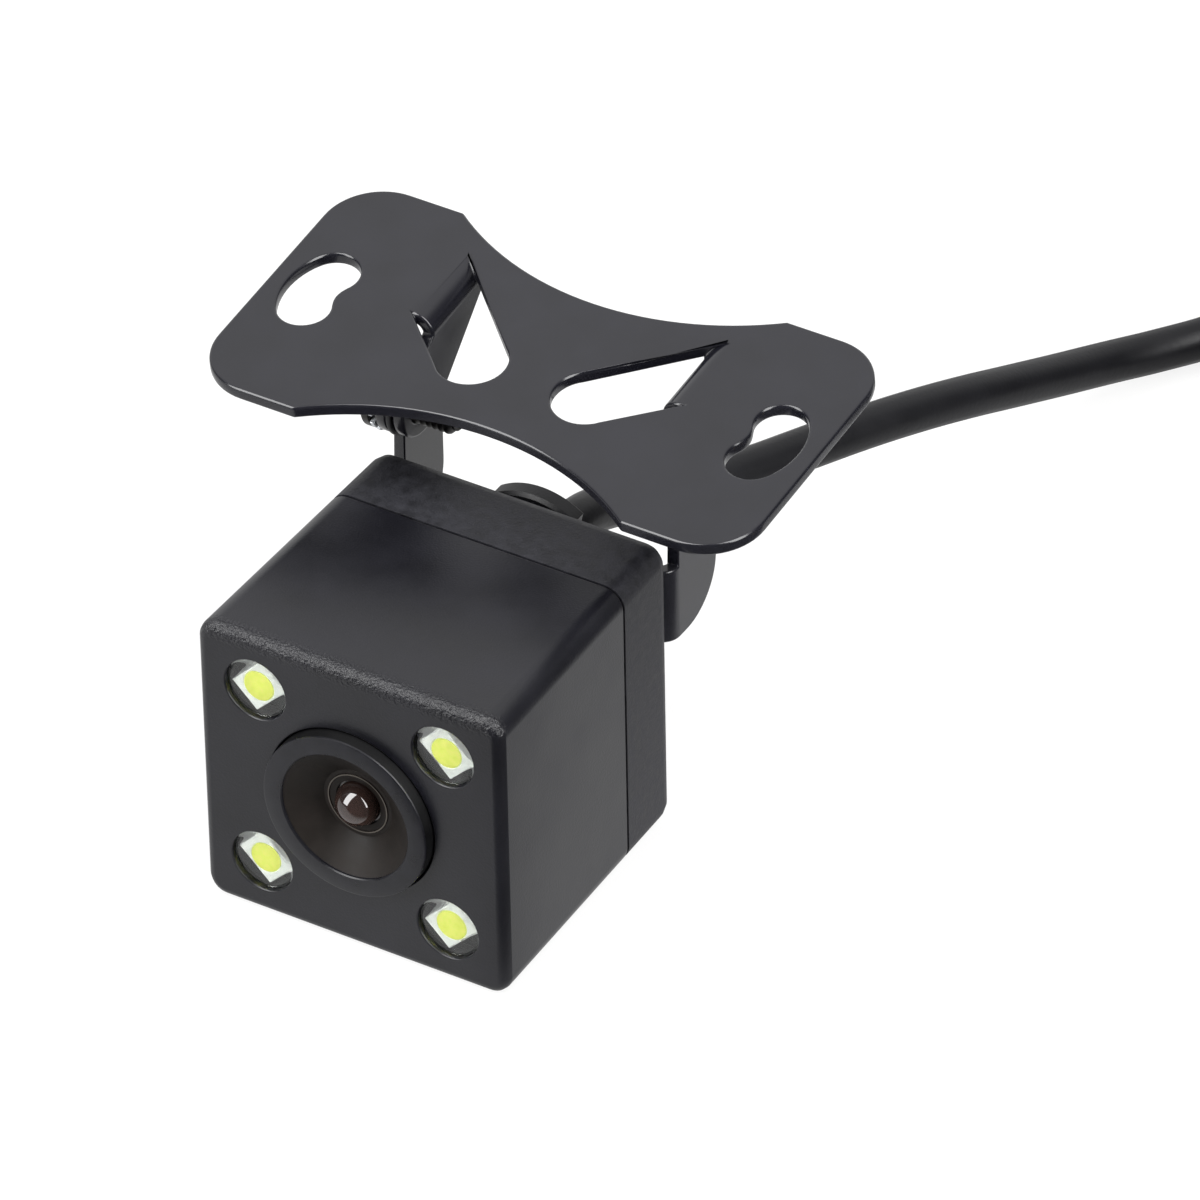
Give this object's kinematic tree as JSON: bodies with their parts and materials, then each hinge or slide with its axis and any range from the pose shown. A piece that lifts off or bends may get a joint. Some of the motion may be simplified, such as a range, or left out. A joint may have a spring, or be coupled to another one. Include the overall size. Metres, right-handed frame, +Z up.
{
  "type": "backup camera",
  "caption": "Cube-shaped rear-view camera with a fisheye lens and lights, on a bent yoke hinged under a butterfly mounting plate, with a coiled lead.",
  "frame": {"origin": "middle of the camera and its bracket in plan, on the surface that the camera's body stands on", "axes": "+X along the mounting plate's length, -Y is the way the lens looks, +Z up from the body's base to the plate"},
  "size_m": [0.098, 0.1253, 0.0353],
  "materials": {
    "shell": "fine textured black ABS",
    "steel_black": "satin black paint on sheet steel",
    "screw_black": "black oxide",
    "zinc": "bright zinc",
    "rubber": "matt black",
    "jacket": "matt black PVC jacket",
    "barrel": "dark brown black",
    "black_plastic": "matt",
    "glass": "coated optical glass",
    "filter": "infrared cut glass",
    "resin": "clear resin",
    "board_green": "solder mask",
    "board_black": "black solder mask",
    "led_white": "white package",
    "phosphor": "yellow phosphor",
    "chip": "moulded black",
    "socket": "natural nylon",
    "core": "coloured insulation",
    "nylon": "black nylon",
    "strap": "woven strap",
    "contact": "gold plated"
  },
  "bodies": {
    "camera": {"front_housing": "shell", "rear_cover": "shell", "housing_seal": "rubber", "cover_screws": "screw_black", "lens_barrel": "barrel", "lens_seal": "rubber", "front_lens": "glass", "lens_spacer": "black_plastic", "second_lens": "glass", "lens_stop": "black_plastic", "rear_lens": "glass", "lens_retainer": "black_plastic", "lens_holder": "black_plastic", "ir_filter": "filter", "image_sensor": "chip", "sensor_board": "board_green", "board_screws": "zinc", "video_chip": "chip", "board_connector": "socket", "led_board": "board_black", "led_packages": "led_white", "led_phosphors": "phosphor", "led_windows": "resin", "light_header": "black_plastic", "yoke": "steel_black", "gland_nut": "black_plastic", "strain_relief": "rubber", "core_wires": "core", "inner_lead": "jacket", "cable": "jacket", "cable_coil": "jacket", "coil_ties": "strap", "plug_body": "rubber", "plug_pin": "contact", "plug_rings": "black_plastic"},
    "bracket": {"bracket_plate": "steel_black", "pivot_screws": "screw_black", "lock_washers": "zinc", "friction_washers": "nylon"}
  },
  "joints": [
    {"name": "tilt", "type": "hinge", "parent": "camera", "child": "bracket", "pos_m": [0, 0.00703, 0.0278], "axis": [1, 0, 0], "range_deg": [-70, 40]}
  ]
}
